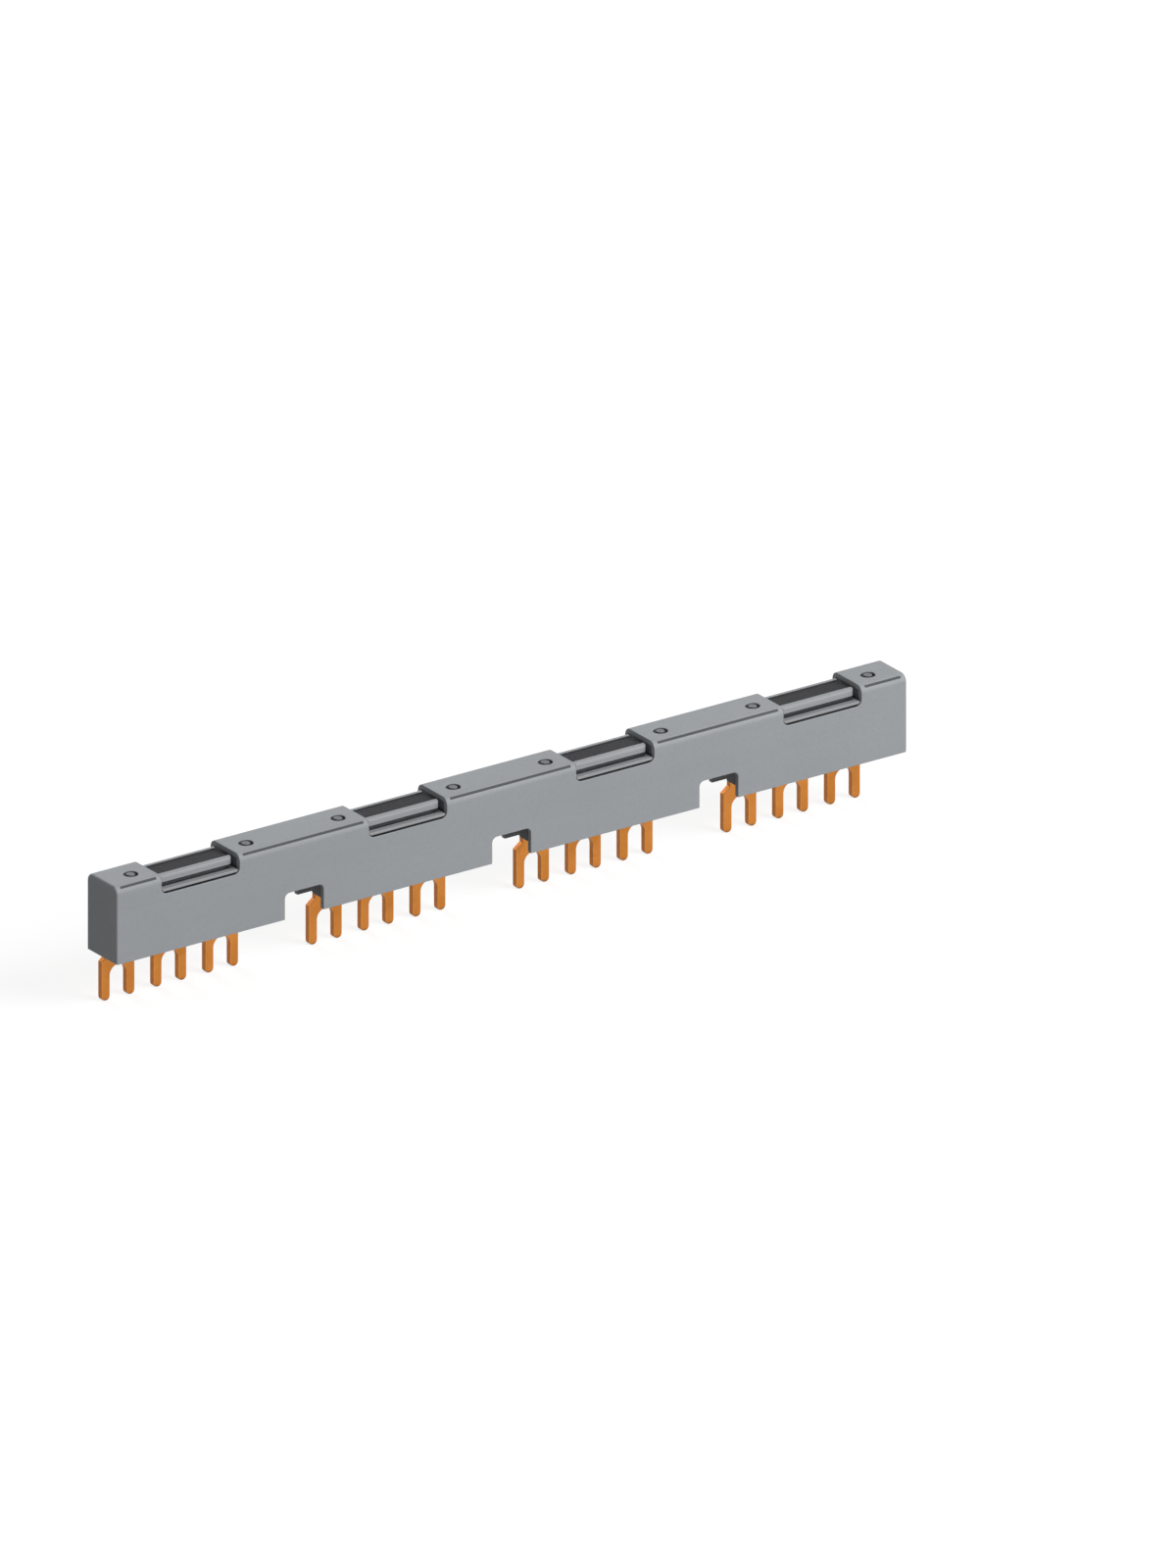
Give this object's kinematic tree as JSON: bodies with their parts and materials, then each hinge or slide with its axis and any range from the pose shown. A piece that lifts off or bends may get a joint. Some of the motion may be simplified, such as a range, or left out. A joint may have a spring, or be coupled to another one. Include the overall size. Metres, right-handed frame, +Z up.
{
  "type": "comb bus bar",
  "caption": "Three-phase comb bus bar: a slim grey housing over insulated copper bars whose bent fork tap-offs stand down in one row along the rear, with windowed marker rails on top",
  "frame": {"origin": "midway along the bar, midway between the front wall and the rear face, at the fork tips", "axes": "+X along the bar, +Y from the front wall to the rear face that the forks are flush with, +Z up"},
  "size_m": [0.206, 0.011, 0.0303],
  "materials": {
    "cover_grey": "fine matt moulding",
    "inner_grey": "matt moulding",
    "rail_grey": "satin moulding",
    "strip_dark": "grooved matt moulding",
    "copper": "bare stamped copper"
  },
  "bodies": {
    "root": {"housing": "cover_grey", "carrier": "inner_grey", "base_comb": "inner_grey", "phase_bar_l1": "copper", "phase_bar_l2": "copper", "phase_bar_l3": "copper", "marker_rail_1": "rail_grey", "marker_rail_2": "rail_grey", "marker_rail_3": "rail_grey", "marker_rail_4": "rail_grey", "grooved_strip_1": "strip_dark", "grooved_strip_2": "strip_dark", "grooved_strip_3": "strip_dark", "grooved_strip_4": "strip_dark"}
  },
  "joints": []
}
